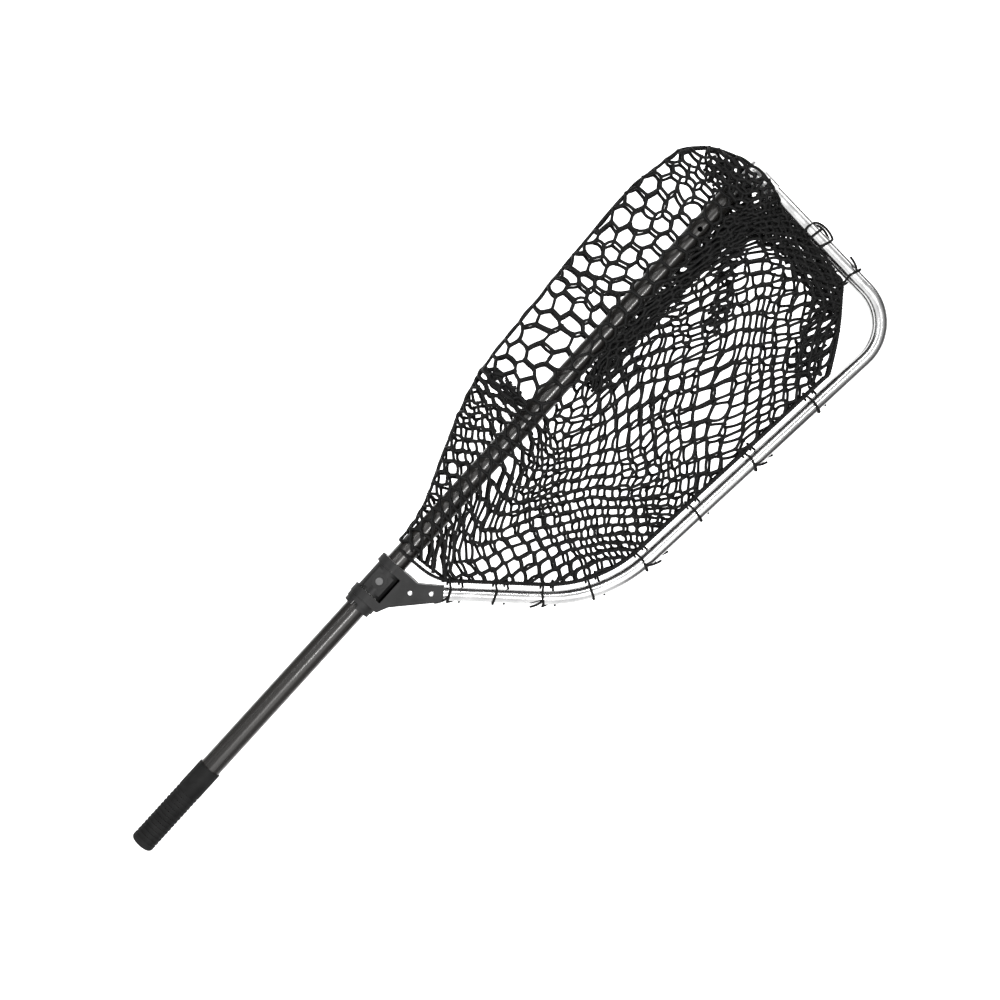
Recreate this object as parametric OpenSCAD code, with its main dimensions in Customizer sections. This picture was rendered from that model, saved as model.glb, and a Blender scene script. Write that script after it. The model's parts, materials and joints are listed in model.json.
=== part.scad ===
// Folding landing net: a hoop in two halves that closes like a book about its sliding handle.
// +Z runs up the handle, the folded hoop lies to +X, and the front half faces -Y.

/* [Handle] */
// Outer diameter of the handle tube
handle_d = 25.4; // [22:0.2:28]
// Wall of the handle tube
handle_wall = 1.3; // [1:0.1:2]
// Length of the handle tube
handle_len = 1000; // [900:10:1100]
// Outer diameter of the smooth grip band
grip_d = 28.6; // [28.4:0.2:31]
// Length of the grip sleeve
grip_len = 118; // [110:2:150]
// Number of ribs moulded round the grip
rib_count = 13; // [8:1:13]
// Distance from the butt end to the middle of the yoke when stowed
stow_len = 407; // [380:1:420]
// How far the hoop slides up the handle
slide_travel = 540; // [400:10:540]

/* [Hoop] */
// Outer diameter of the hoop tube
hoop_d = 15; // [14:0.2:16]
// Wall of the hoop tube
hoop_wall = 1.2; // [0.8:0.1:2]
// Height of the far rail above the yoke, on the handle axis
hoop_h = 630; // [600:5:680]
// Half width of the hoop at the yoke's height, where the side's line meets it
side_x = 189; // [180:1:200]
// Lean of the arm from the handle
arm_lean = 50; // [46:1:54]
// Lean of the hoop's side from the handle
side_lean = 5; // [3:1:7]
// Bend radius between arm and side
arm_bend = 170; // [140:5:190]
// Bend radius of the far corner
corner_bend = 56; // [45:1:70]
// Distance of each hoop half's plane from the handle axis
plane_y = 9.5; // [9.5:0.1:10.5]

/* [Yoke] */
// Radius of the two knuckles
knuckle_r = 19; // [18.6:0.1:20]
// Radius of the barrel between the knuckles
barrel_r = 16.2; // [16:0.1:17]
// Height of each knuckle
knuckle_h = 10.5; // [8:0.5:12]
// Height of the barrel
barrel_h = 34.4; // [30:0.2:40]
// Width of each arm
arm_w = 18; // [18:0.2:22]
// Thickness of each arm
arm_t = 18; // [17.2:0.2:18]
// Distance between the rivets in an arm
rivet_pitch = 24; // [20:1:26]
// Travel of the lock button
button_travel = 2; // [1:0.1:2]

/* [Net] */
// Diameter of the selvedge cord
selvedge_d = 4; // [3:0.2:5]
// Diameter of the lashing cord
lash_d = 2.4; // [2:0.2:3]
// Distance from the hoop tube's middle to the selvedge cord
selvedge_in = 16; // [15:0.5:20]
// How far the bag hangs past the handle
bag_past = 86; // [60:1:90]
// Thickness that stands for the net's cords
net_t = 1.6; // [1:0.1:2.4]

/* [Hidden] */
$fn = 64;
handle_r = handle_d / 2;
hoop_r = hoop_d / 2;
selvedge_r = selvedge_d / 2;
lash_r = lash_d / 2;

// Heights. The origin is on the handle axis, in the middle of the grip's smooth band.
smooth_len = 34;
butt_z = smooth_len / 2 - grip_len;
yoke_z = butt_z + stow_len;
tube_z0 = butt_z + 4;
tube_z1 = tube_z0 + handle_len;

// Running fits: the handle slides in bushings, and the knuckles turn on them.
slide_gap = 0.1;
turn_gap = 0.08;
bush_ri = handle_r + slide_gap;
bush_ro = 14.5;
knuckle_bore = bush_ro + turn_gap;
barrel_lo = -19.2;
barrel_hi = barrel_lo + barrel_h;
face_gap = 0.3;
upper_lo = barrel_hi + face_gap;
upper_hi = upper_lo + knuckle_h;
lower_hi = barrel_lo - face_gap;
lower_lo = lower_hi - knuckle_h;
sweep_r = 19.6;
plate_x = 17;
arm_y0 = -plane_y - arm_t / 2;
socket_gap = 0.05;
seam = 0.02;

// Lock button, stud and their holes, all on one line along Y
lock_z = -1;
lock_r = 3.2;
boss_r = 9;
boss_y = -16.5;
cap_r = 4.6;
cap_sunk = 0.3;
cap_y = boss_y + cap_sunk - button_travel;
cap_t = 1;
lip_y = -13.9;
stem_y = -13;
stud_y = -12.55;
stud_r = 3;
stud_floor = 7;
flange_y = -9;

// Keyway along the handle, turned a little from the front
key_turn = -13;
key_w = 2.4;
key_depth = 0.6;

// Hoop path: arm, arm bend, side, corner bend, rail
rail_lean = -86;
rivet_x = 53;
rivet_z = 28.3;
arm_tip = 13.5;
rail_end_x = 14;
along_arm = rivet_pitch + 8;
path_x0 = rivet_x - along_arm * sin(arm_lean);
path_z0 = rivet_z - along_arm * cos(arm_lean);
mouth_s = along_arm + arm_tip;

function dir(h) = [sin(h), cos(h)];
function inward(h) = [-cos(h), sin(h)];
function cross2(a, b) = a[0] * b[1] - a[1] * b[0];
// Where the line from p along heading g meets the line from q along heading h, as a distance from p
function meet(p, g, q, h) = cross2(q - p, dir(h)) / cross2(dir(g), dir(h));

p_arm = [path_x0, path_z0];
p_side = [side_x, 0];
p_rail = [0, hoop_h];
turn_a = arm_lean - side_lean;
turn_b = side_lean - rail_lean;
cut_a = arm_bend * tan(turn_a / 2);
cut_b = corner_bend * tan(turn_b / 2);
knee_s = meet(p_arm, arm_lean, p_side, side_lean);
knee = p_arm + knee_s * dir(arm_lean);
corner = knee + meet(knee, side_lean, p_rail, rail_lean) * dir(side_lean);
len_1 = knee_s - cut_a;
len_2 = arm_bend * turn_a * PI / 180;
len_3 = norm(corner - knee) - cut_a - cut_b;
len_4 = corner_bend * turn_b * PI / 180;
p_1 = p_arm + len_1 * dir(arm_lean);
c_1 = p_1 + arm_bend * inward(arm_lean);
p_2 = c_1 - arm_bend * inward(side_lean);
p_3 = p_2 + len_3 * dir(side_lean);
c_2 = p_3 + corner_bend * inward(side_lean);
p_4 = c_2 - corner_bend * inward(rail_lean);
len_5 = (p_4[0] - rail_end_x) / -dir(rail_lean)[0];
s_1 = len_1;
s_2 = s_1 + len_2;
s_3 = s_2 + len_3;
s_4 = s_3 + len_4;
s_end = s_4 + len_5;

// Heading and place at distance s along the hoop's middle line, d towards the inside
function heading(s) =
    s <= s_1 ? arm_lean :
    s <= s_2 ? arm_lean - turn_a * (s - s_1) / len_2 :
    s <= s_3 ? side_lean :
    s <= s_4 ? side_lean - turn_b * (s - s_3) / len_4 : rail_lean;
function place(s, d = 0) =
    s <= s_1 ? p_arm + s * dir(arm_lean) + d * inward(arm_lean) :
    s <= s_2 ? c_1 - (arm_bend - d) * inward(heading(s)) :
    s <= s_3 ? p_2 + (s - s_2) * dir(side_lean) + d * inward(side_lean) :
    s <= s_4 ? c_2 - (corner_bend - d) * inward(heading(s)) :
    p_4 + (s - s_4) * dir(rail_lean) + d * inward(rail_lean);

// Rivets: shank, proud head in front, sunk head behind
rivet_r = 2;
rivet_head_r = 2.8;
rivet_head_t = 0.55;
rivet_sink = 1.4;
rivet_clear = 5;

// Distances beyond the arm's tip at which the lashing goes round the hoop
lash_at = [8, 56, 166, 272, 350, 454, 556, 696, 760];
// The rear half's loops sit between the front half's
rear_shift = 15;

// Far hinge
eye_r = 8;
eye_h = 9;
eye_gap = 0.6;
pin_r = 2.5;
far_z = hoop_h - 0.5;
cuff_r = 9;
cuff_x0 = 10;
cuff_x1 = 34;
eye_rivet_x = 26;
head_gap = 0.2;

// Bushings, collar and its two pins
mid_lo = -8;
mid_hi = 4;
collar_lo = -42;
collar_mid = -36.5;
collar_pin_z = -33.6;
collar_pin_r = 1.2;

// Colours shared by several pieces
bright = [0.82, 0.83, 0.84];
cord_black = [0.05, 0.05, 0.055];
net_grey = [0.2, 0.2, 0.22];
plug_r = handle_r - handle_wall - 0.02;

// ---------- shared shapes ----------

module at_yoke() { translate([0, 0, yoke_z]) children(); }

module rear() { mirror([0, 1, 0]) children(); }

module ring(ro, ri, z0, z1) {
    difference() {
        translate([0, 0, z0]) cylinder(h = z1 - z0, r = ro);
        translate([0, 0, z0 - 1]) cylinder(h = z1 - z0 + 2, r = ri);
    }
}

// Round bar along -Y to +Y between two y values
module bar_y(r, y0, y1) {
    translate([0, y0, 0]) rotate([-90, 0, 0]) cylinder(h = y1 - y0, r = r);
}

// Straight bar of radius r from p along heading h, hollow where ri is more than 0
module straight(p, h, len, r, ri = 0) {
    translate([p[0], 0, p[1]]) rotate([0, h, 0]) difference() {
        cylinder(h = len, r = r);
        if (ri > 0) translate([0, 0, -1]) cylinder(h = len + 2, r = ri);
    }
}

module bend(c, radius, h, turn, r, ri = 0) {
    translate([c[0], 0, c[1]]) rotate([90, 0, 0]) rotate([0, 0, -h])
        rotate_extrude(angle = turn) translate([radius, 0]) difference() {
            circle(r = r);
            if (ri > 0) circle(r = ri);
        }
}

// The hoop's line from the arm to the rail's end, d inside the middle line, as a bar or a tube.
// A hairline seam parts each straight run from the bend beside it.
module hoop_line(r, ri = 0, d = 0, from = 0, trim = 0) {
    straight(place(from, d), arm_lean, len_1 - from - seam, r, ri);
    bend(c_1, arm_bend - d, arm_lean, turn_a, r, ri);
    straight(place(s_2 + seam, d), side_lean, len_3 - 2 * seam, r, ri);
    bend(c_2, corner_bend - d, side_lean, turn_b, r, ri);
    straight(place(s_4 + seam, d), rail_lean, len_5 - trim - seam, r, ri);
}

module hoop_tube() {
    translate([0, -plane_y, 0])
        difference() {
            hoop_line(hoop_r, hoop_r - hoop_wall);
            for (k = [0, 1]) arm_rivet_place(k) bar_y(rivet_r + socket_gap, -hoop_d, hoop_d);
            eye_rivet_place() bar_y(rivet_r + socket_gap, -hoop_d, hoop_d);
        }
}

// ---------- rivets ----------

module arm_rivet_place(k) {
    translate([rivet_x - k * rivet_pitch * sin(arm_lean), 0,
        rivet_z - k * rivet_pitch * cos(arm_lean)]) children();
}

module eye_rivet_place() {
    translate([eye_rivet_x, 0, place(s_end - (eye_rivet_x - rail_end_x))[1]]) children();
}

// A rivet with a proud domed head in front and a sunk head behind
module rivet(y0, y1) {
    below = 0.2;
    bar_y(rivet_r, y0, y1 - below);
    bar_y(rivet_head_r, y0 - rivet_head_t, y0);
    translate([0, y0 - rivet_head_t, 0]) rotate([90, 0, 0])
        cylinder(h = rivet_head_t, r1 = rivet_head_r, r2 = 0.7 * rivet_head_r);
    bar_y(rivet_head_r, y1 - rivet_sink, y1 - below);
}

module rivet_holes(y0, y1) {
    bar_y(rivet_r + socket_gap, y0 - rivet_clear, y1 + rivet_clear);
    bar_y(rivet_head_r + socket_gap, y1 - rivet_sink, y1 + rivet_clear);
}

module arm_rivets() {
    for (k = [0, 1]) arm_rivet_place(k) rivet(arm_y0, arm_y0 + arm_t);
}

// ---------- yoke ----------

// Flat outline of an arm with its web, in X and Z
module arm_outline() {
    tip = [rivet_x, rivet_z] + arm_tip * dir(arm_lean);
    across = arm_w / 2 * inward(arm_lean);
    polygon([[plate_x, lower_lo], [21, lower_lo], [27.5, -16], tip - across, tip + across,
        [34, upper_hi], [plate_x, upper_hi]]);
}

module arm_plate() {
    translate([0, arm_y0 + arm_t, 0]) rotate([90, 0, 0]) linear_extrude(arm_t) arm_outline();
}

module arm_cuts() {
    translate([0, -plane_y, 0]) straight(p_arm, arm_lean, mouth_s + 5, hoop_r + socket_gap);
    for (k = [0, 1]) arm_rivet_place(k) rivet_holes(arm_y0, arm_y0 + arm_t);
}

module front_yoke() {
    color([0.09, 0.09, 0.1]) at_yoke() difference() {
        union() {
            difference() {
                arm_plate();
                translate([0, 0, lower_hi]) cylinder(h = upper_lo - lower_hi, r = sweep_r);
            }
            for (z = [lower_lo, upper_lo]) translate([0, 0, z]) {
                cylinder(h = knuckle_h, r = knuckle_r);
                translate([4, arm_y0, 0]) cube([plate_x - 3, arm_t / 2, knuckle_h]);
            }
        }
        translate([0, 0, lower_lo - 1]) cylinder(h = upper_hi - lower_lo + 2, r = knuckle_bore);
        arm_cuts();
    }
}

module rear_yoke() {
    key_gap = 0.4;
    pad = [22, 26];
    pad_y = -15.6;
    cap_gap = 0.15;
    stem_hole_r = 2.5;
    half_y = 0.4;
    color([0.1, 0.1, 0.11]) at_yoke() difference() {
        union() {
            difference() {
                rear() union() {
                    arm_plate();
                    translate([8, arm_y0 + 3, barrel_lo]) cube([14, arm_t - 3, barrel_h]);
                }
                ring(knuckle_r + key_gap, 1, lower_lo - 1, barrel_lo);
                ring(knuckle_r + key_gap, 1, barrel_hi, upper_hi + 1);
                translate([0, -5, barrel_lo - 20]) cube([60, 5 + half_y, barrel_h + 60]);
            }
            translate([0, 0, barrel_lo]) cylinder(h = barrel_h, r = barrel_r);
            translate([-pad[0] / 2, pad_y, lock_z - 1 - pad[1] / 2]) cube([pad[0], 8, pad[1]]);
            translate([0, 0, lock_z]) bar_y(boss_r, boss_y, -10);
        }
        translate([0, 0, barrel_lo - 1]) cylinder(h = mid_lo - barrel_lo + 1, r = bush_ro);
        translate([0, 0, mid_lo - 1]) cylinder(h = mid_hi - mid_lo + 2, r = handle_r + 0.3);
        translate([0, 0, mid_hi]) cylinder(h = barrel_hi - mid_hi + 1, r = bush_ro);
        translate([0, 0, lock_z]) bar_y(cap_r + cap_gap, boss_y - 1, lip_y);
        translate([0, 0, lock_z]) bar_y(stem_hole_r, lip_y - 1, -8);
        rear() arm_cuts();
    }
}

// The handle runs in two liner bushings, and the front knuckles turn on their outsides
module upper_bushing() {
    color([0.75, 0.75, 0.72]) at_yoke() ring(bush_ro, bush_ri, mid_hi, upper_hi);
}

// Opening in the front of the bushing and collar, over the keyway
module key_window(z0, z1) {
    rotate([0, 0, key_turn]) translate([-4, -25, z0]) cube([8, 15, z1 - z0]);
}

module lower_bushing() {
    color([0.75, 0.75, 0.72]) at_yoke() difference() {
        ring(bush_ro, bush_ri, collar_lo, mid_lo);
        key_window(collar_lo - 1, collar_mid);
        collar_pin_holes();
    }
}

module collar_pin_holes() {
    for (side = [0, 180]) rotate([0, 90, side])
        translate([-collar_pin_z, 0, handle_r]) cylinder(h = 8, r = collar_pin_r + socket_gap);
}

module collar_pins() {
    color([0.6, 0.6, 0.62]) at_yoke() for (side = [0, 180]) rotate([0, 90, side])
        translate([-collar_pin_z, 0, bush_ri + 0.1]) cylinder(h = 5, r = collar_pin_r);
}

// Ring that holds the lower knuckle on, with a skirt below and a key that rides in the keyway
module key_collar() {
    skirt_r = 16.8;
    collar_r = 18;
    collar_ri = bush_ro + 0.02;
    key_t = key_w - 0.5;
    key_tip = handle_r - key_depth + 0.2;
    color([0.08, 0.08, 0.09]) at_yoke() {
        difference() {
            union() {
                ring(collar_r, collar_ri, collar_mid, lower_lo - face_gap);
                difference() {
                    ring(skirt_r, collar_ri, collar_lo, collar_mid + 1);
                    key_window(collar_lo - 1, collar_mid);
                }
            }
            collar_pin_holes();
        }
        rotate([0, 0, key_turn]) translate([-key_t / 2, -16, collar_mid - 3.5]) {
            cube([key_t, 16 - key_tip, 3.4]);
            translate([0, 0, 1]) cube([key_t, 1.2, 4]);
        }
    }
}

// ---------- lock ----------

module lock_button() {
    edge = 0.5;
    recess_r = 3.9;
    stem_r = 2.2;
    skirt = 2.2;
    color([0.16, 0.16, 0.17]) at_yoke() translate([0, 0, lock_z]) {
        difference() {
            union() {
                bar_y(cap_r, cap_y + edge, cap_y + skirt);
                translate([0, cap_y + edge, 0]) rotate([90, 0, 0])
                    cylinder(h = edge, r1 = cap_r, r2 = cap_r - edge);
            }
            bar_y(recess_r, cap_y + cap_t, cap_y + skirt + 1);
        }
        bar_y(stem_r, cap_y + cap_t - 0.01, stem_y);
    }
}

// Round wire wound into a coil along +Z, from z = 0 to len
module coil(r, wire, turns, len) {
    sides = 6;
    rings = 14 * turns;
    lift = len - 2 * wire;
    pts = [for (i = [0:rings], j = [0:sides - 1])
        let (a = 360 * turns * i / rings, b = 360 * j / sides)
        [(r + wire * cos(b)) * cos(a), (r + wire * cos(b)) * sin(a),
            wire + lift * i / rings + wire * sin(b)]];
    skin = [for (i = [0:rings - 1], j = [0:sides - 1])
        let (k = (j + 1) % sides)
        [i * sides + j, (i + 1) * sides + j, (i + 1) * sides + k, i * sides + k]];
    polyhedron(pts, concat(skin, [[for (j = [0:sides - 1]) j]],
        [[for (j = [sides - 1:-1:0]) rings * sides + j]]), convexity = 10);
}

module button_spring() {
    color([0.7, 0.7, 0.72]) at_yoke() translate([0, lip_y, lock_z]) rotate([90, 0, 0])
        coil(3.05, 0.3, 3, lip_y - cap_y - cap_t);
}

module lock_stud() {
    flange_r = 4.1;
    stud_tail = -6;
    color([0.75, 0.75, 0.78]) at_yoke() translate([0, 0, lock_z]) {
        bar_y(stud_r, stud_y, stud_tail);
        bar_y(flange_r, -10.2, flange_y);
    }
}

// Plastic insert inside the handle that guides the stud
module stud_carrier() {
    color([0.2, 0.2, 0.22]) at_yoke() difference() {
        translate([0, 0, lock_z - 12]) cylinder(h = 24, r = plug_r);
        translate([0, 0, lock_z]) bar_y(4.3, -15, stud_floor);
    }
}

module stud_spring() {
    color([0.7, 0.7, 0.72]) at_yoke() translate([0, stud_floor, lock_z]) rotate([90, 0, 0])
        coil(3.6, 0.4, 6, stud_floor - flange_y - 0.1);
}

// ---------- handle ----------

module handle_tube() {
    color([0.13, 0.12, 0.12]) difference() {
        translate([0, 0, tube_z0]) cylinder(h = handle_len, r = handle_r);
        translate([0, 0, tube_z0 - 1]) cylinder(h = handle_len + 2, r = handle_r - handle_wall);
        rotate([0, 0, key_turn])
            translate([-key_w / 2, -handle_r - 1, butt_z + grip_len - 10])
            cube([key_w, 1 + key_depth, handle_len]);
        for (z = [0, slide_travel])
            translate([0, 0, yoke_z + lock_z + z]) bar_y(lock_r, -handle_r - 2, -5);
    }
}

module grip_sleeve() {
    wall_end = 4;
    nose = 5;
    rib_from = 9;
    rib_step = 5.4;
    rib_w = 2.6;
    rib_depth = 0.7;
    grip_r = grip_d / 2;
    color([0.06, 0.06, 0.065]) difference() {
        translate([0, 0, butt_z]) rotate_extrude() difference() {
            union() {
                translate([0, nose]) square([grip_r, grip_len - nose]);
                square([grip_r - nose, nose + 1]);
                translate([grip_r - nose, nose]) circle(r = nose);
            }
            translate([-grip_r, 0]) square([grip_r, grip_len]);
            for (i = [0:rib_count])
                translate([grip_r - rib_depth, rib_from + i * rib_step])
                    square([rib_depth + 1, rib_step - rib_w]);
        }
        translate([0, 0, butt_z + wall_end]) cylinder(h = grip_len, r = handle_r + 0.02);
    }
}

module butt_plug() {
    color([0.2, 0.2, 0.2]) translate([0, 0, tube_z0]) difference() {
        cylinder(h = 18, r = plug_r);
        translate([0, 0, 3]) cylinder(h = 20, r = plug_r - 2);
    }
}

module handle_end_cap() {
    color([0.07, 0.07, 0.07]) translate([0, 0, tube_z1]) {
        translate([0, 0, -16]) ring(plug_r, plug_r - 2, 0, 16);
        cylinder(h = 2.4, r = handle_r);
        translate([0, 0, 2.4]) cylinder(h = 1.6, r1 = handle_r, r2 = handle_r - 1.6);
    }
}

// ---------- far hinge ----------

// Cuff over the rail's end with an eye on the hinge axis, the eye z0 above the rail's middle
module hinge_eye(z0) {
    rail_p = place(s_end);
    at_yoke() difference() {
        union() {
            translate([0, -plane_y, 0]) intersection() {
                straight(rail_p - 36 * dir(rail_lean), rail_lean, 60, cuff_r);
                translate([cuff_x0, -20, far_z - 20]) cube([cuff_x1 - cuff_x0, 40, 40]);
            }
            translate([0, 0, far_z + z0]) cylinder(h = eye_h, r = eye_r);
            translate([-1, -plane_y - eye_r, far_z + z0]) cube([13, plane_y + eye_r - 0.5, eye_h]);
        }
        translate([0, 0, far_z + z0 - 1]) cylinder(h = eye_h + 2, r = pin_r + 0.06);
        translate([0, -plane_y, 0]) straight(rail_p - 60 * dir(rail_lean), rail_lean, 60,
            hoop_r + socket_gap);
        eye_rivet_place() rivet_holes(-plane_y - cuff_r, -plane_y + cuff_r);
    }
}

module eye_rivet() {
    at_yoke() eye_rivet_place() rivet(-plane_y - cuff_r, -plane_y + cuff_r);
}

module far_hinge_pin() {
    head_r = 4.4;
    head_t = 1.6;
    lo = far_z - eye_gap / 2 - eye_h;
    hi = far_z + eye_gap / 2 + eye_h;
    color([0.62, 0.62, 0.64]) at_yoke() {
        translate([0, 0, lo - head_gap]) cylinder(h = hi - lo + 2 * head_gap, r = pin_r);
        for (z = [lo - head_gap - head_t, hi + head_gap])
            translate([0, 0, z]) cylinder(h = head_t, r = head_r);
    }
}

// ---------- net ----------

// Selvedge cord inside the hoop, with a run across the yoke to the handle
module selvedge() {
    start = mouth_s + 6;
    a = place(start - 2, selvedge_in);
    b = [-6, 42];
    run_y = -15.6;
    reach = [b[0] - a[0], run_y + plane_y, b[1] - a[1]];
    at_yoke() {
        translate([0, -plane_y, 0]) hoop_line(selvedge_r, 0, selvedge_in, start, 24);
        translate([a[0], -plane_y, a[1]])
            rotate([0, acos(reach[2] / norm(reach)), atan2(reach[1], reach[0])])
                translate([0, 0, 5]) cylinder(h = norm(reach) - 5, r = selvedge_r);
    }
}

// One turn of lashing round the tube and the selvedge, at distance s along the hoop
module lash_loop(s) {
    big = hoop_r + 0.3 + lash_r;
    small = selvedge_r + 0.3 + lash_r;
    t = acos((big - small) / selvedge_in);
    leg = sqrt(selvedge_in * selvedge_in - (big - small) * (big - small));
    p = place(s);
    translate([p[0], -plane_y, p[1]]) rotate([0, heading(s), 0]) rotate([0, 0, 180]) {
        rotate([0, 0, t]) rotate_extrude(angle = 360 - 2 * t)
            translate([big, 0]) circle(r = lash_r, $fn = 24);
        translate([selvedge_in, 0, 0]) rotate([0, 0, -t]) rotate_extrude(angle = 2 * t)
            translate([small, 0]) circle(r = lash_r, $fn = 24);
        for (side = [-1, 1])
            translate([big * cos(t), side * big * sin(t), 0])
                rotate([0, 0, side * (t - 90)]) rotate([0, 90, 0])
                    cylinder(h = leg, r = lash_r, $fn = 24);
    }
}

module lashing(shift = 0) {
    at_yoke() for (s = lash_at) lash_loop(mouth_s + s + shift);
}

// The bag's front wall: from the selvedge, over the handle, to the fold beyond it.
// q runs 0 to 1 from the yoke to the far rail, t runs 0 to 1 from the outer fold to the selvedge.
panel_in = selvedge_in + 3.2;
rows = 30;
cols = 14;
nose_t = 0.16;
fold_y = -2.4;
function rim(q) = place(mouth_s + 8 + q * (s_end - mouth_s - 30), panel_in);
function fold_z(q) = 46 + min(1, q * 1.35) * (hoop_h - 74) + max(0, q - 0.74) * 26;
function fold_x(q) =
    let (z = fold_z(q), w = min(1, max(0, (z - 60) / 220)), v = max(0, (q - 0.8) / 0.2))
    -15 - (bag_past - 15) * pow(sin(90 * w), 1.3) + 60 * v * v;
function nose(t) = t >= nose_t ? 1 : sqrt(1 - pow(1 - t / nose_t, 2));
function depth(q, t) = 13.2 + (4.5 + 6 * sin(180 * min(1, q * 1.2))) * sin(180 * min(1, 0.15 + 0.85 * t));
function wall_point(q, t) =
    let (a = [fold_x(q), fold_z(q)], b = rim(q), p = a + (b - a) * t)
    [p[0], fold_y - depth(q, t) * nose(t), p[1]];

module net_wall() {
    n = cols + 1;
    m = (rows + 1) * n;
    front = [for (i = [0:rows], j = [0:cols]) wall_point(i / rows, pow(j / cols, 1.4))];
    back = [for (p = front) p + [0, net_t, 0]];
    faces = [for (i = [0:rows - 1], j = [0:cols - 1])
        let (a = i * n + j, b = a + n) each [[a, a + 1, b], [a + 1, b + 1, b],
            [m + a, m + b, m + a + 1], [m + a + 1, m + b, m + b + 1]]];
    ends = [for (i = [0:rows - 1], j = [0, cols])
        let (a = i * n + j, b = a + n)
        j == 0 ? [a, b, m + b, m + a] : [b, a, m + a, m + b]];
    caps = [for (i = [0, rows], j = [0:cols - 1])
        let (a = i * n + j, b = a + 1)
        i == 0 ? [b, a, m + a, m + b] : [a, b, m + b, m + a]];
    at_yoke() polyhedron(concat(front, back), concat(faces, ends, caps), convexity = 6);
}

// ---------- the two halves, piece by piece ----------

module rear_hoop_tube() {
    color(bright) rear() at_yoke() hoop_tube();
}

module rear_arm_rivets() {
    color(bright) rear() at_yoke() arm_rivets();
}

module rear_hinge_eye() {
    color(bright) rear() hinge_eye(-eye_h - eye_gap / 2);
}

module rear_eye_rivet() {
    color(bright) rear() eye_rivet();
}

module rear_selvedge() {
    color(cord_black) rear() selvedge();
}

module rear_lashing() {
    color(cord_black) rear() lashing(rear_shift);
}

module rear_net() {
    color(net_grey) rear() net_wall();
}

module front_hoop_tube() {
    color(bright) at_yoke() hoop_tube();
}

module front_arm_rivets() {
    color(bright) at_yoke() arm_rivets();
}

module front_hinge_eye() {
    color(bright) hinge_eye(eye_gap / 2);
}

module front_eye_rivet() {
    color(bright) eye_rivet();
}

module front_selvedge() {
    color(cord_black) selvedge();
}

module front_lashing() {
    color(cord_black) lashing();
}

module front_net() {
    color(net_grey) net_wall();
}

handle_tube();
grip_sleeve();
butt_plug();
handle_end_cap();
stud_carrier();
lock_stud();
stud_spring();
rear_yoke();
upper_bushing();
lower_bushing();
key_collar();
collar_pins();
lock_button();
button_spring();
rear_hoop_tube();
rear_arm_rivets();
rear_hinge_eye();
rear_eye_rivet();
rear_selvedge();
rear_lashing();
rear_net();
front_yoke();
front_hoop_tube();
front_arm_rivets();
front_hinge_eye();
front_eye_rivet();
far_hinge_pin();
front_selvedge();
front_lashing();
front_net();
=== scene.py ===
"""Landing net, folded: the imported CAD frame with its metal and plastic, and the cords and netting made here."""
import json
import math

import bpy
import numpy as np
from mathutils import Matrix, Vector


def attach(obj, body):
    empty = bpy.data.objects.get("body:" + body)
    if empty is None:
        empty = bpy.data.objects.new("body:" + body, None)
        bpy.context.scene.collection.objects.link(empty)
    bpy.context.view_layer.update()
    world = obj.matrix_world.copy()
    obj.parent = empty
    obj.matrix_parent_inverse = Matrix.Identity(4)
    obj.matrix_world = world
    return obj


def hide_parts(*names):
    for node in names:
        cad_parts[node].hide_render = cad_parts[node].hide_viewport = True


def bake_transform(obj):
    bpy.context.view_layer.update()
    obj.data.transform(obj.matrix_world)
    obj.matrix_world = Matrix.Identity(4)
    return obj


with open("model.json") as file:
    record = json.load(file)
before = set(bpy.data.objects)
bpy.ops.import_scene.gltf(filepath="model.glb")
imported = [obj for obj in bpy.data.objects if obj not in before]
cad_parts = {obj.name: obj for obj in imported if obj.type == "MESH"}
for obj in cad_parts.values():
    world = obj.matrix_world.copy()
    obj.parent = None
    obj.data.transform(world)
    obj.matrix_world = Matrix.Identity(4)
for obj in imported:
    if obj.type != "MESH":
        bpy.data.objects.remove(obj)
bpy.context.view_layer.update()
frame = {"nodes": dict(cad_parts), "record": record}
NODES = frame["nodes"]
JOINTS = {joint["name"]: joint for joint in frame["record"]["behaviour"]["joints"]}
MM = 0.001

# ---------- sizes, in millimetres, in the yoke's frame: z runs up the handle from the yoke's middle ----------
YOKE_Z = JOINTS["hoop_fold"]["pos_m"][2]
HOOP_R = 7.5
PLANE_Y = 9.5
ARM_LEAN = 50.0
SIDE_LEAN = 5.0
RAIL_LEAN = -86.0
ARM_BEND = 170.0
CORNER_BEND = 56.0
SIDE_X = 189.0
HOOP_H = 630.0
ARM_START = (28.49, 7.73)
MOUTH_S = 45.5
RAIL_END_X = 14.0
SELVEDGE_IN = 15.0
SELVEDGE_R = 2.2
LASH_R = 1.55
STRAND_R = 1.85
BAR_R = 2.15
KNOT_R = 2.75

# ---------- the hoop's middle line ----------


def direction(lean):
    return np.array([math.sin(math.radians(lean)), math.cos(math.radians(lean))])


def inward(lean):
    return np.array([-math.cos(math.radians(lean)), math.sin(math.radians(lean))])


def crossing(p, g, q, h):
    """Distance from p along lean g to the line through q with lean h."""
    d, e, r = direction(g), direction(h), np.array(q) - np.array(p)
    return (r[0] * e[1] - r[1] * e[0]) / (d[0] * e[1] - d[1] * e[0])


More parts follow.
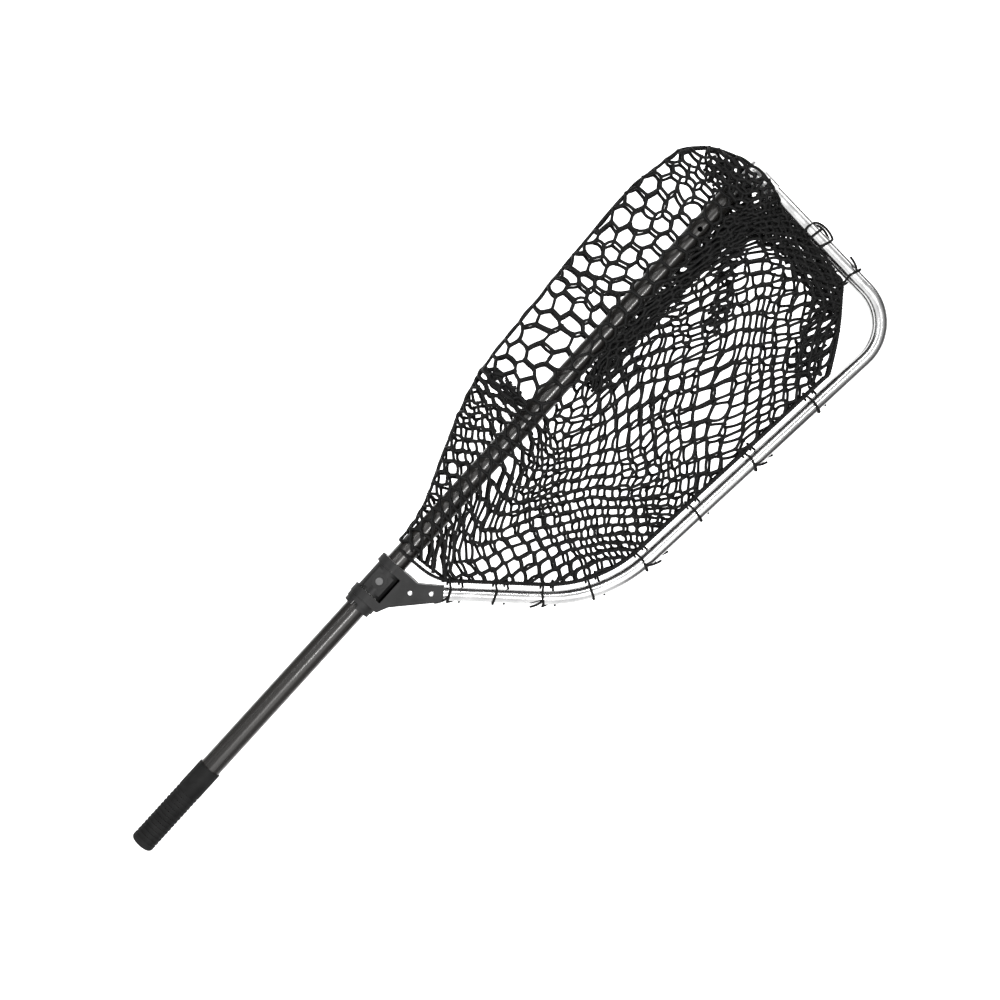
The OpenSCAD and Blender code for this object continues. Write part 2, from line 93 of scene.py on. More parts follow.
class Hoop:
    """Place and lean at a distance s along the hoop half's middle line: arm, bend, side, bend, rail."""

    def __init__(self):
        turn_a, turn_b = ARM_LEAN - SIDE_LEAN, SIDE_LEAN - RAIL_LEAN
        cut_a = ARM_BEND * math.tan(math.radians(turn_a / 2))
        cut_b = CORNER_BEND * math.tan(math.radians(turn_b / 2))
        start = np.array(ARM_START)
        knee_s = crossing(start, ARM_LEAN, (SIDE_X, 0), SIDE_LEAN)
        knee = start + knee_s * direction(ARM_LEAN)
        side = crossing(knee, SIDE_LEAN, (0, HOOP_H), RAIL_LEAN)
        self.turn = (turn_a, turn_b)
        self.p0 = start
        self.s1 = knee_s - cut_a
        self.s2 = self.s1 + ARM_BEND * math.radians(turn_a)
        self.s3 = self.s2 + side - cut_a - cut_b
        self.s4 = self.s3 + CORNER_BEND * math.radians(turn_b)
        p1 = start + self.s1 * direction(ARM_LEAN)
        self.c1 = p1 + ARM_BEND * inward(ARM_LEAN)
        self.p2 = self.c1 - ARM_BEND * inward(SIDE_LEAN)
        p3 = self.p2 + (self.s3 - self.s2) * direction(SIDE_LEAN)
        self.c2 = p3 + CORNER_BEND * inward(SIDE_LEAN)
        self.p4 = self.c2 - CORNER_BEND * inward(RAIL_LEAN)
        self.end = self.s4 + (self.p4[0] - RAIL_END_X) / -direction(RAIL_LEAN)[0]

    def lean(self, s):
        if s <= self.s1:
            return ARM_LEAN
        if s <= self.s2:
            return ARM_LEAN - self.turn[0] * (s - self.s1) / (self.s2 - self.s1)
        if s <= self.s3:
            return SIDE_LEAN
        if s <= self.s4:
            return SIDE_LEAN - self.turn[1] * (s - self.s3) / (self.s4 - self.s3)
        return RAIL_LEAN

    def place(self, s, inset=0.0):
        lean = self.lean(s)
        if s <= self.s1:
            return self.p0 + s * direction(lean) + inset * inward(lean)
        if s <= self.s2:
            return self.c1 - (ARM_BEND - inset) * inward(lean)
        if s <= self.s3:
            return self.p2 + (s - self.s2) * direction(lean) + inset * inward(lean)
        if s <= self.s4:
            return self.c2 - (CORNER_BEND - inset) * inward(lean)
        return self.p4 + (s - self.s4) * direction(lean) + inset * inward(lean)


HOOP = Hoop()
# The selvedge leaves the side below the corner and meets the rail beyond it, because the bag pulls it straight.
CORNER_FROM = HOOP.s3 - 42
CORNER_TO = HOOP.s4 + 26

# ---------- small helpers ----------


def smooth(t):
    t = np.clip(t, 0, 1)
    return t * t * (3 - 2 * t)


def through(points, value):
    """A smooth curve through given (height, x) points, read at a height."""
    z = np.array([p[0] for p in points], float)
    x = np.array([p[1] for p in points], float)
    slope = np.gradient(x, z)
    value = np.clip(value, z[0], z[-1])
    i = np.clip(np.searchsorted(z, value) - 1, 0, len(z) - 2)
    h = z[i + 1] - z[i]
    t = (value - z[i]) / h
    return ((2 * t**3 - 3 * t**2 + 1) * x[i] + (t**3 - 2 * t**2 + t) * h * slope[i]
            + (3 * t**2 - 2 * t**3) * x[i + 1] + (t**3 - t**2) * h * slope[i + 1])


def ripple(x, z, size, seed):
    """A smooth field between about -1 and 1 with features of the given size."""
    rng = np.random.default_rng(seed)
    total = np.zeros_like(np.asarray(x, float))
    for _ in range(6):
        angle, phase = rng.uniform(0, 2 * math.pi, 2)
        stretch = rng.uniform(0.7, 1.5)
        total += np.sin(2 * math.pi / (size * stretch) * (x * math.cos(angle) + z * math.sin(angle)) + phase)
    return total / 3.2


def to_row(points):
    """Millimetres in the yoke's frame to metres in the row frame."""
    return np.asarray(points, float) * MM + np.array([0, 0, YOKE_Z])


def make_mesh(name, verts, faces, material):
    mesh = bpy.data.meshes.new(name)
    mesh.from_pydata(verts.tolist(), [], faces.tolist() if hasattr(faces, "tolist") else faces)
    mesh.polygons.foreach_set("use_smooth", [True] * len(mesh.polygons))
    mesh.update()
    obj = bpy.data.objects.new(name, mesh)
    obj.data.materials.append(material)
    bpy.context.scene.collection.objects.link(obj)
    return obj


def tubes(paths, radii, sides=6):
    """Round strands of one point count: paths (n, k, 3) in row metres, radii (n, k). Closed at both ends."""
    paths = np.asarray(paths, float)
    radii = np.asarray(radii, float)
    n, k, _ = paths.shape
    tangent = np.gradient(paths, axis=1)
    tangent /= np.linalg.norm(tangent, axis=2, keepdims=True) + 1e-12
    whole = paths[:, -1] - paths[:, 0]
    helper = np.where(np.abs(whole[:, 1:2]) > 0.8 * np.linalg.norm(whole, axis=1, keepdims=True),
                      np.array([[1.0, 0, 0]]), np.array([[0, 1.0, 0]]))
    across = np.cross(tangent, helper[:, None, :])
    across /= np.linalg.norm(across, axis=2, keepdims=True) + 1e-12
    up = np.cross(across, tangent)
    angle = np.arange(sides) * 2 * math.pi / sides
    ring = (np.cos(angle)[None, None, :, None] * across[:, :, None, :]
            + np.sin(angle)[None, None, :, None] * up[:, :, None, :])
    verts = paths[:, :, None, :] + ring * radii[:, :, None, None]
    base = (np.arange(n)[:, None, None] * k + np.arange(k - 1)[None, :, None]) * sides
    j = np.arange(sides)[None, None, :]
    nxt = (j + 1) % sides
    quads = np.stack([base + j, base + nxt, base + sides + nxt, base + sides + j], axis=-1).reshape(-1, 4)
    first = np.arange(n)[:, None] * k * sides
    cap_a = first + np.arange(sides)[::-1][None, :]
    cap_b = first + (k - 1) * sides + np.arange(sides)[None, :]
    return verts.reshape(-1, 3), quads.tolist() + cap_a.tolist() + cap_b.tolist()


def merge(parts):
    """Several (verts, faces) lists as one."""
    verts, faces, offset = [], [], 0
    for v, f in parts:
        verts.append(np.asarray(v))
        faces += [[i + offset for i in face] for face in f]
        offset += len(v)
    return np.concatenate(verts), faces


def knots(centres, radius, seed):
    """A small lumpy knot at each centre."""
    import bmesh
    bm = bmesh.new()
    bmesh.ops.create_icosphere(bm, subdivisions=1, radius=1)
    ball = np.array([v.co for v in bm.verts])
    faces = np.array([[v.index for v in f.verts] for f in bm.faces])
    bm.free()
    rng = np.random.default_rng(seed)
    n = len(centres)
    scale = radius * rng.uniform(0.85, 1.2, (n, 1, 3))
    verts = np.asarray(centres)[:, None, :] + ball[None] * scale
    all_faces = (np.arange(n)[:, None, None] * len(ball) + faces[None]).reshape(-1, 3)
    return verts.reshape(-1, 3), all_faces.tolist()


def fine_path(points, step):
    """Catmull-Rom through points, evenly sampled about every step."""
    p = np.asarray(points, float)
    p = np.vstack([2 * p[0] - p[1], p, 2 * p[-1] - p[-2]])
    out = []
    for i in range(1, len(p) - 2):
        count = max(2, int(np.linalg.norm(p[i + 1] - p[i]) / step))
        for t in np.arange(count) / count:
            out.append(0.5 * (2 * p[i] + (p[i + 1] - p[i - 1]) * t
                              + (2 * p[i - 1] - 5 * p[i] + 4 * p[i + 1] - p[i + 2]) * t**2
                              + (3 * p[i] - p[i - 1] - 3 * p[i + 1] + p[i + 2]) * t**3))
    out.append(p[-2])
    return np.array(out)


def twisted_cord(points, radius, lay=9.0, strands=3, step=1.6, sides=6):
    """A laid cord: strands that wind round the path. Everything in millimetres."""
    path = fine_path(points, step)
    tangent = np.gradient(path, axis=0)
    tangent /= np.linalg.norm(tangent, axis=1, keepdims=True)
    along = np.concatenate([[0], np.cumsum(np.linalg.norm(np.diff(path, axis=0), axis=1))])
    normal = np.cross(tangent[0], [0, 1, 0.1])
    normals = []
    for t in tangent:
        normal = normal - t * np.dot(normal, t)
        normal /= np.linalg.norm(normal)
        normals.append(normal)
    normals = np.array(normals)
    binormal = np.cross(tangent, normals)
    lines = []
    for k in range(strands):
        turn = 2 * math.pi * (along / lay + k / strands)
        wind = np.cos(turn)[:, None] * normals + np.sin(turn)[:, None] * binormal
        lines.append(path + 0.46 * radius * wind)
    rad = np.full((strands, len(path)), 0.56 * radius * MM)
    rad[:, 0] *= 0.5
    rad[:, -1] *= 0.5
    return tubes(to_row(np.array(lines)), rad, sides)

# ---------- materials ----------


def new_material(name):
    material = bpy.data.materials.new(name)
    material.use_nodes = True
    nodes = material.node_tree.nodes
    return material, nodes, material.node_tree.links, nodes["Principled BSDF"]


def noise(nodes, links, scale, detail=4.0, stretch=(1, 1, 1)):
    coord = nodes.new("ShaderNodeTexCoord")
    mapping = nodes.new("ShaderNodeMapping")
    mapping.inputs["Scale"].default_value = stretch
    texture = nodes.new("ShaderNodeTexNoise")
    texture.inputs["Scale"].default_value = scale
    texture.inputs["Detail"].default_value = detail
    links.new(coord.outputs["Object"], mapping.inputs["Vector"])
    links.new(mapping.outputs["Vector"], texture.inputs["Vector"])
    return texture.outputs["Fac"]


def ramp(nodes, links, source, stops):
    node = nodes.new("ShaderNodeValToRGB")
    elements = node.color_ramp.elements
    elements[0].position, elements[0].color = stops[0][0], (*stops[0][1], 1)
    elements[1].position, elements[1].color = stops[1][0], (*stops[1][1], 1)
    links.new(source, node.inputs["Fac"])
    return node.outputs["Color"]


def spread(nodes, links, source, low, high):
    node = nodes.new("ShaderNodeMapRange")
    node.inputs["From Min"].default_value = 0.3
    node.inputs["From Max"].default_value = 0.7
    node.inputs["To Min"].default_value = low
    node.inputs["To Max"].default_value = high
    links.new(source, node.inputs["Value"])
    return node.outputs["Result"]


def bump(nodes, links, shader, source, strength, distance):
    node = nodes.new("ShaderNodeBump")
    node.inputs["Strength"].default_value = strength
    node.inputs["Distance"].default_value = distance
    links.new(source, node.inputs["Height"])
    links.new(node.outputs["Normal"], shader.inputs["Normal"])


def grey(value, warm=0.0):
    return (value * (1 + warm), value, value * (1 - warm))


def surface(name, dark, light, rough, metallic=0.0, scale=60.0, stretch=(1, 1, 1), grain=900.0,
            strength=0.15, depth=0.00005, warm=0.0, coat=0.0, sheen=0.0, specular=0.5):
    """One finish: mottled colour, roughness that varies, and a fine grain as bump."""
    material, nodes, links, shader = new_material(name)
    cloud = noise(nodes, links, scale, 5.0, stretch)
    fine = noise(nodes, links, grain, 2.0, stretch)
    links.new(ramp(nodes, links, cloud, ((0.3, grey(dark, warm)), (0.7, grey(light, warm)))),
              shader.inputs["Base Color"])
    links.new(spread(nodes, links, cloud, rough[0], rough[1]), shader.inputs["Roughness"])
    shader.inputs["Metallic"].default_value = metallic
    shader.inputs["Coat Weight"].default_value = coat
    shader.inputs["Sheen Weight"].default_value = sheen
    shader.inputs["Specular IOR Level"].default_value = specular
    bump(nodes, links, shader, fine, strength, depth)
    return material


ALONG = (1, 1, 0.05)
FINISH = {
    "black_tube": surface("black_anodised", 0.008, 0.018, (0.22, 0.32), metallic=0.3, scale=90, stretch=ALONG,
                          grain=700, strength=0.08, warm=0.08, coat=0.12),
    "grip_rubber": surface("grip_rubber", 0.005, 0.012, (0.5, 0.7), grain=1400, strength=0.35, depth=0.0001,
                           specular=0.07),
    "plug_plastic": surface("plug_plastic", 0.012, 0.025, (0.45, 0.6), grain=1200),
    "stainless": surface("stainless", 0.50, 0.66, (0.22, 0.36), metallic=1.0, grain=800),
    "spring_wire": surface("spring_wire", 0.40, 0.55, (0.25, 0.35), metallic=1.0, grain=800),
    "yoke_plastic": surface("charcoal_plastic", 0.008, 0.020, (0.40, 0.58), scale=45, grain=1300, strength=0.3,
                            depth=0.00012, specular=0.12),
    "cast_aluminium": surface("cast_aluminium", 0.66, 0.80, (0.26, 0.40), metallic=1.0, grain=600),
    "bushing_acetal": surface("acetal", 0.62, 0.72, (0.35, 0.45), grain=900),
    "button_plastic": surface("button_plastic", 0.03, 0.055, (0.3, 0.45), grain=1300),
    "bright_tube": surface("clear_anodised", 0.40, 0.54, (0.16, 0.30), metallic=1.0, scale=70, stretch=ALONG,
                           grain=500, strength=0.10),
    "rivet_aluminium": surface("rivet_aluminium", 0.65, 0.82, (0.2, 0.35), metallic=1.0, grain=700),
    "black_cord": surface("black_nylon_cord", 0.003, 0.009, (0.5, 0.7), scale=300, grain=2400, strength=0.5,
                          depth=0.00012, specular=0.08),
    "net_cord": surface("coated_net_cord", 0.002, 0.007, (0.40, 0.58), scale=180, grain=2000, strength=0.4,
                        depth=0.00012, specular=0.08),
}
SLOT_OF = {part["node"]: part["material_slot"] for part in frame["record"]["subparts"]}
for node_name, node_object in NODES.items():
    node_object.data.materials.clear()
    node_object.data.materials.append(FINISH[SLOT_OF[node_name]])

# ---------- netting ----------
# The bag's outer fold beyond the handle: (height, x), from the yoke up to the far rail.
FOLD = ((46, -14.5), (80, -16.5), (125, -32), (180, -54), (250, -75), (330, -81), (430, -87), (560, -84),
        (600, -72), (622, -44), (632, -18))
ROW_H = 22.5
COL_W = 18.8
REACH = 34.0


def selvedge_line():
    """The selvedge's route inside the hoop, as (x, z) points from the arm's tip to the rail's end."""
    points = [HOOP.place(s, SELVEDGE_IN) for s in np.arange(MOUTH_S + 4, CORNER_FROM, 12)]
    points += [HOOP.place(CORNER_FROM, SELVEDGE_IN)]
    a, b = points[-1], HOOP.place(CORNER_TO, SELVEDGE_IN)
    sag = -inward(-40) * 4
    points += [a + (b - a) * t + sag * math.sin(math.pi * t) for t in (0.2, 0.4, 0.6, 0.8)]
    points += [HOOP.place(s, SELVEDGE_IN) for s in np.arange(CORNER_TO, HOOP.end - 10, 14)]
    return np.array(points)


SELVEDGE = selvedge_line()
TOP_CORNER = HOOP.place(CORNER_TO, SELVEDGE_IN)


def right_x(z):
    """Where the wall ends at the selvedge, at a height."""
    rising = SELVEDGE[SELVEDGE[:, 1] <= TOP_CORNER[1] + 0.1]
    order = np.argsort(rising[:, 1])
    return np.interp(z, rising[order, 1], rising[order, 0])


def top_z(x):
    """Where the wall ends at the far rail, at a distance from the handle."""
    slope = (TOP_CORNER[1] - 633) / TOP_CORNER[0]
    return 633 + slope * x - 5 * smooth((30 - x) / 50) + 1.6 * np.sin(x / 9.0)


def bottom_z(x):
    """Where the wall ends at the yoke."""
    return 47 + 2.0 * np.cos(x / 20.0)


def room(x, z):
    """How far inside the wall's outline a point is, negative outside."""
    return np.minimum.reduce([x - through(FOLD, z), right_x(z) - x, top_z(x) - z, z - bottom_z(x)])


def near_line(x, z, a, b, wide):
    """How far inside a stroke of the given half width from a to b a point is."""
    a, b = np.array(a, float), np.array(b, float)
    d = b - a
    t = np.clip(((x - a[0]) * d[0] + (z - a[1]) * d[1]) / (d @ d), 0, 1)
    return wide - np.hypot(x - a[0] - t * d[0], z - a[1] - t * d[1])


# Where slack netting is bunched over the wall: name, stroke from, stroke to, half width, layers.
FOLDS = (("far", (-12, 610), (158, 592), 19, 1), ("far_left", (-30, 606), (60, 592), 17, 2),
         ("tube", (24, 352), (22, 566), 13, 2), ("tube_low", (30, 335), (46, 372), 15, 1),
         ("left", (-72, 259), (-18, 257), 10, 2), ("corner", (150, 596), (196, 505), 19, 1),
         ("sweep", (20, 590), (88, 470), 11, 1))


def window(value, low, high, soft):
    """1 between low and high, with soft edges."""
    return smooth((value - low) / soft) * smooth((high - value) / soft)


def lattice_of(x, z, layer, ply=0):
    """Where a point of the wall lies on the flat netting: a steep stretch is a gather, a ply is a fold over it.

    right, far_left, low and rim weigh in the wall's parts: beyond the handle, by the fold, near the yoke,
    and near the selvedge's lower run, where the cells turn to lie along it. A tight strip runs beside the handle.
    """
    right = smooth((x - 4) / 60)
    far_left = 1 - smooth((x + 30) / 150)
    low = np.maximum(262 - z, 0)
    rim = smooth((x - 30) / 60) * smooth((280 - z + 0.3 * (x - 100)) / 150)
    strip_x = 20 + 0.10 * (z - 450)
    gather_strip = window(z, 290, 610, 80) * smooth((x - strip_x + 9) / 26)
    p = x + (0.62 + 0.12 * right * (1 - rim)) * np.maximum(x - 16, 0)
    p = p + 24 * gather_strip + 0.45 * np.minimum(x, 0) * smooth(low / 50)
    q = z + 1.15 * np.maximum(z - 568, 0) * (0.35 + 0.65 * right) - 0.42 * low * far_left
    q += 15 * smooth((z - 232) / 26) * far_left - 0.20 * right * (1 - rim) * (z - 300)
    q = q - 0.55 * rim * (x - 80)
    p = p + 0.55 * rim * (z - 95) + 0.07 * right * (z - 330)
    p = p + 6.5 * ripple(x, z, 150, 11) + 2.6 * ripple(x, z, 60, 12)
    q = q + 6.5 * ripple(x, z, 160, 21) + 2.8 * ripple(x, z, 65, 22)
    if layer == "rear":
        shift = np.maximum(smooth((x + 4) / 50), 0.7 * smooth((262 - z) / 60))
        shift = shift * (1 - 0.85 * rim)
        p = p + shift * (8 + 9 * ripple(x, z, 130, 31))
        q = q + shift * (10 + 10 * ripple(x, z, 120, 32))
    if ply:
        p = 1.15 * p + 5 * ply + 9 * ripple(x, z, 90, 60 + ply)
        q = 1.25 * q + 7 * ply + 9 * ripple(x, z, 80, 70 + ply)
    return p, q


def unfold(p, q, layer, ply=0):
    """The wall point of each netting point, found by steps."""
    x, z = p * 0.6, q * 0.9
    for _ in range(220):
        pp, qq = lattice_of(x, z, layer, ply)
        x = x + 0.22 * np.clip(p - pp, -30, 30)
        z = z + 0.22 * np.clip(q - qq, -30, 30)
    return x, z


def depth_at(x, z, layer):
    """How far the wall stands off the folding plane. It hangs from the selvedge and closes at the fold."""
    seed = 41 if layer == "front" else 51
    fold = through(FOLD, z)
    nose_w = np.clip(-fold, 15.5, REACH)
    t = np.clip((x - fold) / nose_w, 0, 1)
    nose = np.sqrt(np.clip(1 - (1 - t) ** 2, 0, 1))
    off_selvedge = smooth((right_x(z) - x) / 42)
    off_top = smooth((top_z(x) - z) / 40)
    hinge = smooth((60 - x) / 30)
    off_top = off_top * (1 - hinge) + hinge
    off = np.minimum(off_selvedge, off_top)
    tall = smooth((z - 60) / 140)
    belly = 16.6 + tall * (2.6 + 1.9 * ripple(x, z, 120, seed) + 0.9 * ripple(x, z, 55, seed + 1))
    hinge_clear = smooth((z - 596) / 14) * smooth((50 - x) / 12)
    belly = np.maximum(belly, 16.4) + hinge_clear * 3.6
    return (PLANE_Y + (belly - PLANE_Y) * off) * nose


def wall_points(x, z, layer):
    side = -1 if layer == "front" else 1
    return np.stack([x, side * depth_at(x, z, layer), z], axis=-1)


def bar_length(x, z):
    """Length of the short bars where two strands run together, on the flat netting."""
    right = smooth((x - 10) / 50)
    low = smooth((262 - z) / 40)
    return 12.4 * (1 - right) * (1 - 0.5 * low) + 6.0 * right


def netting(layer, ply=0):
    """Every strand of one wall: a list of (start, end, is_bar) in wall coordinates, cut at the outline."""
    cols = np.arange(-12, 26 + 6 * min(ply, 1))
    rows = np.arange(-10, 42 + 12 * min(ply, 1))
    i, j = np.meshgrid(cols, rows, indexing="ij")
    centre_p = i * COL_W
    centre_q = (j + 0.5 * (i % 2)) * ROW_H
    rough_x, rough_z = unfold(centre_p.astype(float), centre_q.astype(float), layer, ply)
    half = bar_length(rough_x, rough_z) / 2
    rng = np.random.default_rng(7 + ply)
    jitter = rng.normal(0, 0.9, (4, *i.shape))
    left = unfold(centre_p - half + jitter[0], centre_q + jitter[1], layer, ply)
    right = unfold(centre_p + half + jitter[2], centre_q + jitter[3], layer, ply)
    left, right = np.stack(left, -1), np.stack(right, -1)
    strands = [(left[a, b], right[a, b], 1) for a in range(len(cols)) for b in range(len(rows))]
    for a in range(len(cols) - 1):
        for b in range(len(rows)):
            shift = -1 if cols[a] % 2 == 0 else 1
            for c in (b, b + shift):
                if 0 <= c < len(rows):
                    strands.append((right[a, b], left[a + 1, c], 0))
    return strands


def clip_strands(strands, inside_by=room):
    """Strands cut where they leave the outline: inner ends, outer ends, bar flags, and which are whole."""
    start = np.array([s[0] for s in strands])
    end = np.array([s[1] for s in strands])
    bar = np.array([s[2] for s in strands])
    keep_len = np.linalg.norm(end - start, axis=1) < 70
    start, end, bar = start[keep_len], end[keep_len], bar[keep_len]
    a_in = inside_by(start[:, 0], start[:, 1]) > 0
    b_in = inside_by(end[:, 0], end[:, 1]) > 0
    keep = a_in | b_in
    start, end, bar, a_in, b_in = start[keep], end[keep], bar[keep], a_in[keep], b_in[keep]
    inside = np.where(a_in[:, None], start, end)
    outside = np.where(a_in[:, None], end, start)
    low, high = np.zeros(len(bar)), np.ones(len(bar))
    for _ in range(20):
        mid = (low + high) / 2
        at = inside + (outside - inside) * mid[:, None]
        ok = inside_by(at[:, 0], at[:, 1]) > 0
        low, high = np.where(ok, mid, low), np.where(ok, high, mid)
    both = a_in & b_in
    cut = np.where(both[:, None], outside, inside + (outside - inside) * low[:, None])
    length = np.linalg.norm(cut - inside, axis=1)
    good = length > 1.2
    return inside[good], cut[good], bar[good], both[good]


def edge_strands(cut, whole):
    """Strands that join the cut ends along the fold and the top, one to the next."""
    ends = cut[~whole]
    x, z = ends[:, 0], ends[:, 1]
    on_fold = np.abs(x - through(FOLD, z)) < 0.6
    on_top = (np.abs(top_z(x) - z) < 0.6) & ~on_fold
    fold = ends[on_fold][np.argsort(z[on_fold])]
    top = ends[on_top][np.argsort(x[on_top])]
    chain = np.concatenate([fold, top])
    gap = np.linalg.norm(np.diff(chain, axis=0), axis=1)
    near = (gap < 45) & (gap > 0.8)
    return chain[:-1][near], chain[1:][near]


def strand_parts(inside, cut, bar, spots, layer, lift=0.0):
    """Round strands from inner to outer ends with knots at the spots, laid on the wall."""
    steps = np.array([0.0, 0.12, 0.3, 0.5, 0.7, 0.88, 1.0])
    rng = np.random.default_rng(17)
    n = len(bar)
    line = inside[:, None, :] + (cut - inside)[:, None, :] * steps[None, :, None]
    side = np.stack([-(cut - inside)[:, 1], (cut - inside)[:, 0]], -1)
    side /= np.linalg.norm(side, axis=1, keepdims=True)
    bow = rng.normal(0, 0.8, n)[:, None] * np.sin(math.pi * steps)[None, :]
    line = line + side[:, None, :] * bow[:, :, None]
    points = wall_points(line[:, :, 0], line[:, :, 1], layer)
    sway = rng.normal(0, 0.6, n)[:, None] * np.sin(math.pi * steps)[None, :]
    off = np.abs(points[:, :, 1])
    points[:, :, 1] *= 1 + (np.abs(sway) * (off > 15.8) + lift) / np.maximum(off, 6)
    size = np.where(bar == 1, BAR_R, STRAND_R)
    shape = np.array([1.12, 1.0, 0.94, 0.92, 0.94, 1.0, 1.12])
    centres = wall_points(spots[:, 0], spots[:, 1], layer)
    centres[:, 1] *= 1 + lift / np.maximum(np.abs(centres[:, 1]), 6)
    return [tubes(to_row(points), size[:, None] * shape[None, :] * MM, 6),
            knots(to_row(centres), KNOT_R * MM, 3)]


def wall(layer):
    """One wall of the bag, with the strands that close its fold and its top edge."""
    inside, cut, bar, whole = clip_strands(netting(layer))
    spots = np.unique(np.round(inside, 2), axis=0)
    edge_a, edge_b = edge_strands(cut, whole)
    inside, cut = np.concatenate([inside, edge_a]), np.concatenate([cut, edge_b])
    bar = np.concatenate([bar, np.zeros(len(edge_a))])
    return strand_parts(inside, cut, bar, spots, layer)


def folds(layer):
    """The slack netting that is bunched over a wall."""
    parts = []
    plies = {ply: netting(layer, ply) for ply in (1, 2)}
    for _, a, b, wide, count in FOLDS:
        for ply in range(1, count + 1):
            def bunch(x, z):
                return np.minimum(room(x, z) - 1, near_line(x, z, a, b, wide * (1 - 0.12 * ply)))
            inside, cut, bar, _ = clip_strands(plies[ply], bunch)
            spots = np.unique(np.round(inside, 2), axis=0)
            parts += strand_parts(inside, cut, bar, spots, layer, 2.4 * ply)
    return parts


def build_net():
    """Each wall of the bag and the netting bunched over it, built in place; the CAD netting is hidden."""
    for layer, own, other in (("front", "hoop_front", "hoop_rear"), ("rear", "hoop_rear", "hoop_front")):
        for name, parts in ((layer + "_netting", wall(layer)), (layer + "_net_folds", folds(layer))):
            net = make_mesh(name, *merge(parts), FINISH["net_cord"])
            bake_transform(net)
            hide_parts(layer + "_net")

# ---------- selvedge and lashing ----------


def selvedge_path(side):
    """The selvedge in three dimensions, with its run across the yoke to the handle.

    The two runs lie at different heights, so that they pass each other when the hoop opens.
    """
    body = [(x, side * PLANE_Y, z) for x, z in SELVEDGE]
    level = 41.5 if side < 0 else 46.7
    across = [(-8, side * 15.4, level), (14, side * 16.6, level), (38, side * 13.5, level + 2)]
    return across + body


def lash_path(s, side, seed):
    """One hitch of lashing: round the hoop tube and the selvedge, with a loose tail."""
    rng = np.random.default_rng(seed)
    ring = HOOP_R + 0.25 + LASH_R
    small = SELVEDGE_R + 0.2 + LASH_R
    lean = HOOP.lean(s)
    place = HOOP.place(s)
    along, into = direction(lean), inward(lean)
    skew = rng.uniform(-0.25, 0.25)
    points = []
    for k in range(15):
        angle = math.radians(-132 + 264 * k / 14)
        u, w = -math.cos(angle) * ring, math.sin(angle) * ring
        points.append((u, w, skew * u + 1.1 * (k - 7) / 7))
    points.append((SELVEDGE_IN - 1.0, small * 1.0, 0.8))
    points.append((SELVEDGE_IN + small, 0.6, 0.2))
    points.append((SELVEDGE_IN + 0.4, -small * 1.05, -1.4))
    points.append((SELVEDGE_IN - small - 1.0, -small * 0.9, -2.6))
    closed = []
    for u, w, v in points:
        xz = place + into * u + along * v
        closed.append((xz[0], side * (PLANE_Y + w), xz[1]))
    return closed


def tail_path(s, side, seed):
    """The loose end of a hitch, bent over the hoop tube."""
    rng = np.random.default_rng(seed)
    lean = HOOP.lean(s)
    place = HOOP.place(s)
    along, into = direction(lean), inward(lean)
    sign = rng.choice([-1, 1])
    length = rng.uniform(9, 20)
    out = []
    for t, u, w in ((0, -3, HOOP_R + 1.9), (0.3, -6.5, HOOP_R + 1.5), (0.65, -9.0, HOOP_R - 1.5),
                    (1, -10.6, HOOP_R - 5)):
        xz = place + into * u + along * sign * length * t
        out.append((xz[0], side * (PLANE_Y + w), xz[1]))
    return out


def loose_loop(s, side):
    """The slack turn of lashing that stands off the rail."""
    out = []
    for u, w, v in ((SELVEDGE_IN - 2, 5, -4), (6, 11, -6), (-4, 10, -8), (-10, 3, -8), (-13.5, -1, 2),
                    (-13, -2, 12), (-8, 2, 19), (2, 9.5, 21), (9, 9, 20), (SELVEDGE_IN - 2, 4, 19)):
        xz = HOOP.place(s) + inward(HOOP.lean(s)) * u + direction(HOOP.lean(s)) * v
        out.append((xz[0], side * (PLANE_Y + w), xz[1]))
    return out


LASH_AT = (6, 58, 112, 168, 236, 318, 404, 500, 690, 752)


def build_cords():
    for layer, side, body, shift in (("front", -1, "hoop_front", 0.0), ("rear", 1, "hoop_rear", 13.0)):
        verts, faces = twisted_cord(selvedge_path(side), SELVEDGE_R)
        cord = make_mesh(layer + "_selvedge_cord", verts, faces, FINISH["black_cord"])
        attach(cord, body)
        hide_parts(layer + "_selvedge")
        parts = []
        for k, at in enumerate(LASH_AT):
            s = MOUTH_S + at + shift
            parts.append(twisted_cord(lash_path(s, side, 100 + k), LASH_R, lay=5, step=1.0))
            if k % 2 == 0:
                parts.append(twisted_cord(tail_path(s, side, 200 + k), LASH_R, lay=5, step=1.0))
        parts.append(twisted_cord(loose_loop(HOOP.end - 96, side), LASH_R, lay=5, step=1.0))
        verts, faces = merge(parts)
        lash = make_mesh(layer + "_lashing_cord", verts, faces, FINISH["black_cord"])
        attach(lash, body)
        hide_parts(layer + "_lashing")

# ---------- camera, light and backdrop ----------
VIEW_FROM = 2.3
FIELD = 1.14
AIM = (0.039, 0.465)
TILT = math.radians(42.3)
# Area lights: name, place, width and height, power
LIGHTS = (("key", (-1.3, -1.7, 0.9), (0.16, 2.0), 34), ("strip", (0.62, -2.2, 0.5), (0.10, 1.3), 46),
          ("fill", (1.8, -2.2, 0.0), (1.4, 1.4), 12), ("top", (-0.3, -0.6, 2.6), (1.4, 1.0), 20))


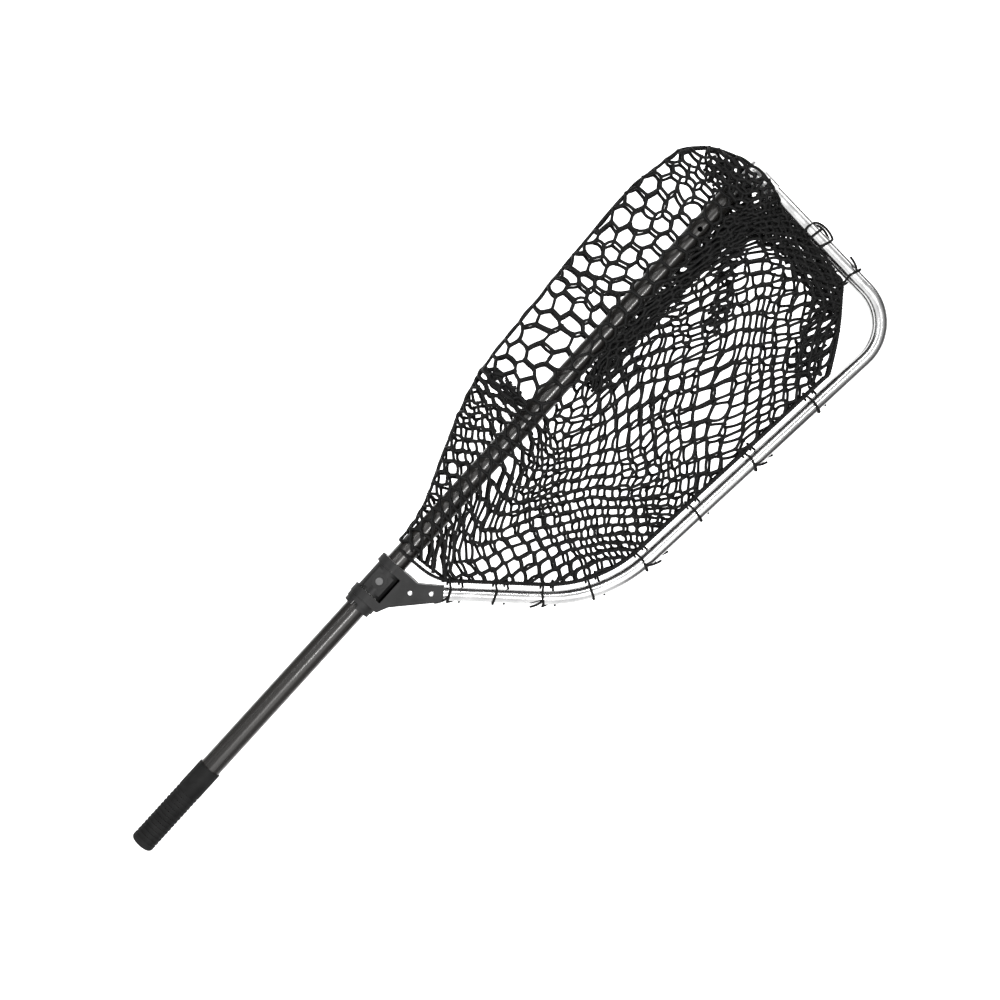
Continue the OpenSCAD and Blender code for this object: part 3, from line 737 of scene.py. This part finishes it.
def build_stage():
    camera_data = bpy.data.cameras.new("camera")
    camera_data.sensor_width = 36
    camera_data.lens = 36 * VIEW_FROM / FIELD
    camera = bpy.data.objects.new("camera", camera_data)
    right = Vector((math.cos(TILT), 0, math.sin(TILT)))
    up = Vector((-math.sin(TILT), 0, math.cos(TILT)))
    back = Vector((0, -1, 0))
    turn = Matrix((right, up, back)).transposed().to_4x4()
    camera.matrix_world = Matrix.Translation((AIM[0], -VIEW_FROM, AIM[1])) @ turn
    bpy.context.scene.collection.objects.link(camera)
    bpy.context.scene.camera = camera

    paper, nodes, links, shader = new_material("backdrop_paper")
    shader.inputs["Base Color"].default_value = (0.93, 0.93, 0.93, 1)
    shader.inputs["Roughness"].default_value = 0.9
    shader.inputs["Emission Color"].default_value = (1, 1, 1, 1)
    shader.inputs["Emission Strength"].default_value = 0.9
    back_y, floor_z, wide, bend = 4.6, -2.2, 9.0, 1.4
    profile = [(-7.0, floor_z)]
    profile += [(back_y - bend + bend * math.sin(a), floor_z + bend - bend * math.cos(a))
                for a in np.linspace(0, math.pi / 2, 14)]
    profile += [(back_y, 7.0)]
    verts = np.array([(x, y, z) for x in (-wide, wide) for y, z in profile])
    count = len(profile)
    faces = [[k, k + 1, count + k + 1, count + k] for k in range(count - 1)]
    make_mesh("backdrop", verts, faces, paper)

    world = bpy.data.worlds.new("studio")
    world.use_nodes = True
    nodes, links = world.node_tree.nodes, world.node_tree.links
    coord = nodes.new("ShaderNodeTexCoord")
    split = nodes.new("ShaderNodeSeparateXYZ")
    level = nodes.new("ShaderNodeMapRange")
    level.inputs["From Min"].default_value = -0.95
    level.inputs["From Max"].default_value = -0.35
    level.inputs["To Min"].default_value = 0.95
    level.inputs["To Max"].default_value = 0.16
    links.new(coord.outputs["Generated"], split.inputs["Vector"])
    links.new(split.outputs["Y"], level.inputs["Value"])
    links.new(level.outputs["Result"], nodes["Background"].inputs["Strength"])
    nodes["Background"].inputs["Color"].default_value = (1, 1, 1, 1)
    bpy.context.scene.world = world
    for name, place, size, power in LIGHTS:
        light_data = bpy.data.lights.new(name, "AREA")
        light_data.shape = "RECTANGLE"
        light_data.size, light_data.size_y = size
        light_data.energy = power
        light = bpy.data.objects.new(name, light_data)
        light.location = place
        aim = Vector((AIM[0], 0, AIM[1])) - Vector(place)
        light.rotation_euler = aim.to_track_quat("-Z", "Y").to_euler()
        bpy.context.scene.collection.objects.link(light)


build_net()
build_cords()
build_stage()
bpy.context.scene.view_settings.view_transform = "Standard"
